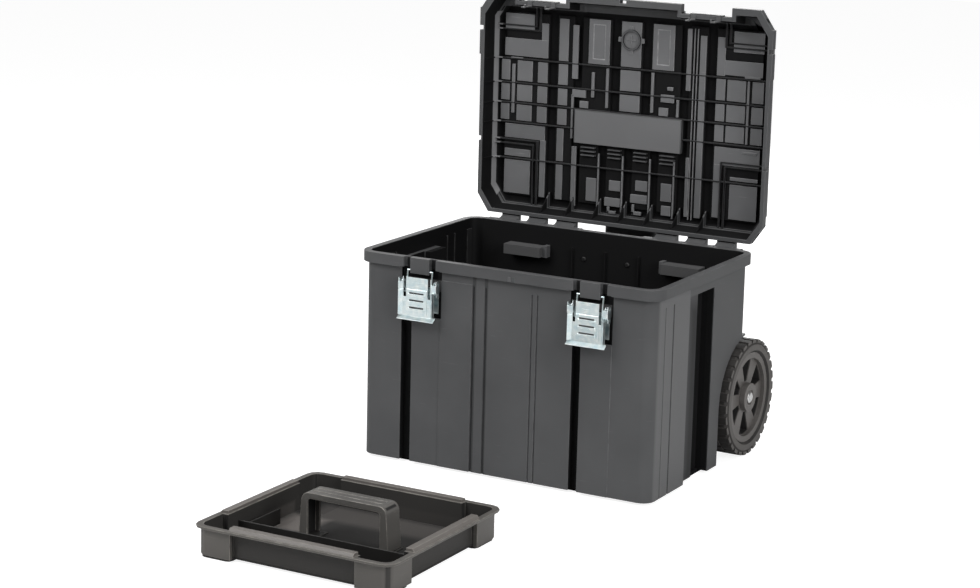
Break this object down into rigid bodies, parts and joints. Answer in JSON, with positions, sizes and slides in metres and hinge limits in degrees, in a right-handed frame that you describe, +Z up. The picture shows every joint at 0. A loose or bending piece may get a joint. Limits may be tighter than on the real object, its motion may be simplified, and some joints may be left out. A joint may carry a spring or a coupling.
{
  "type": "rolling storage case",
  "caption": "Wheeled plastic storage case with a deep hinged lid, draw latches, a telescopic pull handle and a loose carrying tray.",
  "frame": {"origin": "centre of the case's flat underside, on the floor", "axes": "+Z up, +X to the viewer's right along the front, +Y from the latches to the wheels"},
  "size_m": [0.558, 1.0665, 0.7571],
  "materials": {
    "charcoal_plastic": "fine grain",
    "dark_plastic": "fine grain",
    "warm_grey_plastic": "fine grain",
    "tyre_rubber": "matte",
    "hub_plastic": "satin",
    "zinc_plate": "bright zinc plated",
    "steel": "plain",
    "aluminium": "anodised",
    "bush_nylon": "plain",
    "plate_plastic": "satin"
  },
  "bodies": {
    "case": {"case_tub": "charcoal_plastic", "axle_rod": "steel", "handle_foot": "dark_plastic", "handle_collar": "dark_plastic", "hinge_pin_left": "steel", "hinge_pin_right": "steel", "latch_bracket_left": "zinc_plate", "latch_bracket_right": "zinc_plate", "axle_cap_left": "steel", "axle_cap_right": "steel", "axle_washer_left": "dark_plastic", "axle_washer_right": "dark_plastic", "axle_block_left": "dark_plastic", "axle_block_right": "dark_plastic", "outer_tube_left": "aluminium", "outer_tube_right": "aluminium", "foot_screw_left": "steel", "foot_screw_right": "steel", "collar_screw_left": "steel", "collar_screw_right": "steel", "latch_rivet_left_a": "zinc_plate", "latch_rivet_left_b": "zinc_plate", "latch_rivet_right_a": "zinc_plate", "latch_rivet_right_b": "zinc_plate", "block_screw_left_upper": "steel", "block_screw_left_lower": "steel", "block_screw_right_upper": "steel", "block_screw_right_lower": "steel"},
    "lid": {"lid_shell": "charcoal_plastic", "lid_grip": "dark_plastic", "lid_plate": "plate_plastic", "lid_catch_left": "charcoal_plastic", "lid_catch_right": "charcoal_plastic"},
    "lever_left": {"latch_lever_left": "zinc_plate"},
    "lever_right": {"latch_lever_right": "zinc_plate"},
    "bail_left": {"latch_bail_left": "zinc_plate"},
    "bail_right": {"latch_bail_right": "zinc_plate"},
    "wheel_left": {"tyre_left": "tyre_rubber", "wheel_hub_left": "hub_plastic", "wheel_bush_left": "bush_nylon"},
    "wheel_right": {"tyre_right": "tyre_rubber", "wheel_hub_right": "hub_plastic", "wheel_bush_right": "bush_nylon"},
    "handle_middle": {"middle_tube_left": "aluminium", "middle_tube_right": "aluminium"},
    "handle_inner": {"inner_tube_left": "aluminium", "inner_tube_right": "aluminium", "pull_grip": "dark_plastic", "button_spring": "steel"},
    "button": {"release_button": "plate_plastic", "release_yoke": "steel"},
    "tray": {"tray_tub": "warm_grey_plastic", "tray_handle": "warm_grey_plastic", "tray_divider": "warm_grey_plastic"}
  },
  "joints": [
    {"name": "lid_hinge", "type": "hinge", "parent": "case", "child": "lid", "pos_m": [0, 0.203, 0.345], "axis": [1, 0, 0], "range_deg": [0, 90]},
    {"name": "lever_left_hinge", "type": "hinge", "parent": "case", "child": "lever_left", "pos_m": [-0.156, -0.1905, 0.313], "axis": [-1, 0, 0], "range_deg": [0, 120]},
    {"name": "bail_left_hinge", "type": "hinge", "parent": "lever_left", "child": "bail_left", "pos_m": [-0.156, -0.192, 0.2965], "axis": [-1, 0, 0], "range_deg": [-120, 0]},
    {"name": "lever_right_hinge", "type": "hinge", "parent": "case", "child": "lever_right", "pos_m": [0.156, -0.1905, 0.313], "axis": [-1, 0, 0], "range_deg": [0, 120]},
    {"name": "bail_right_hinge", "type": "hinge", "parent": "lever_right", "child": "bail_right", "pos_m": [0.156, -0.192, 0.2965], "axis": [-1, 0, 0], "range_deg": [-120, 0]},
    {"name": "wheel_left_spin", "type": "hinge", "parent": "case", "child": "wheel_left", "pos_m": [-0.256, 0.19, 0.1], "axis": [1, 0, 0], "continuous": true},
    {"name": "wheel_right_spin", "type": "hinge", "parent": "case", "child": "wheel_right", "pos_m": [0.256, 0.19, 0.1], "axis": [1, 0, 0], "continuous": true},
    {"name": "handle_middle_slide", "type": "slide", "parent": "case", "child": "handle_middle", "axis": [0, 0, 1], "range_m": [0, 0.22]},
    {"name": "handle_inner_slide", "type": "slide", "parent": "handle_middle", "child": "handle_inner", "axis": [0, 0, 1], "range_m": [0, 0.21]},
    {"name": "release_button_press", "type": "slide", "parent": "handle_inner", "child": "button", "axis": [0, 0, -1], "range_m": [0, 0.004], "stiffness_N_per_m": 400, "springref_m": -0.008, "deforming": ["button_spring"]},
    {"name": "tray_lift", "type": "slide", "parent": "case", "child": "tray", "axis": [0, 0, 1], "range_m": [0, 0.45]}
  ],
  "couplings": [
    {"joint": "bail_left_hinge", "follows": "lever_left_hinge", "ratio": -1},
    {"joint": "bail_right_hinge", "follows": "lever_right_hinge", "ratio": -1}
  ]
}
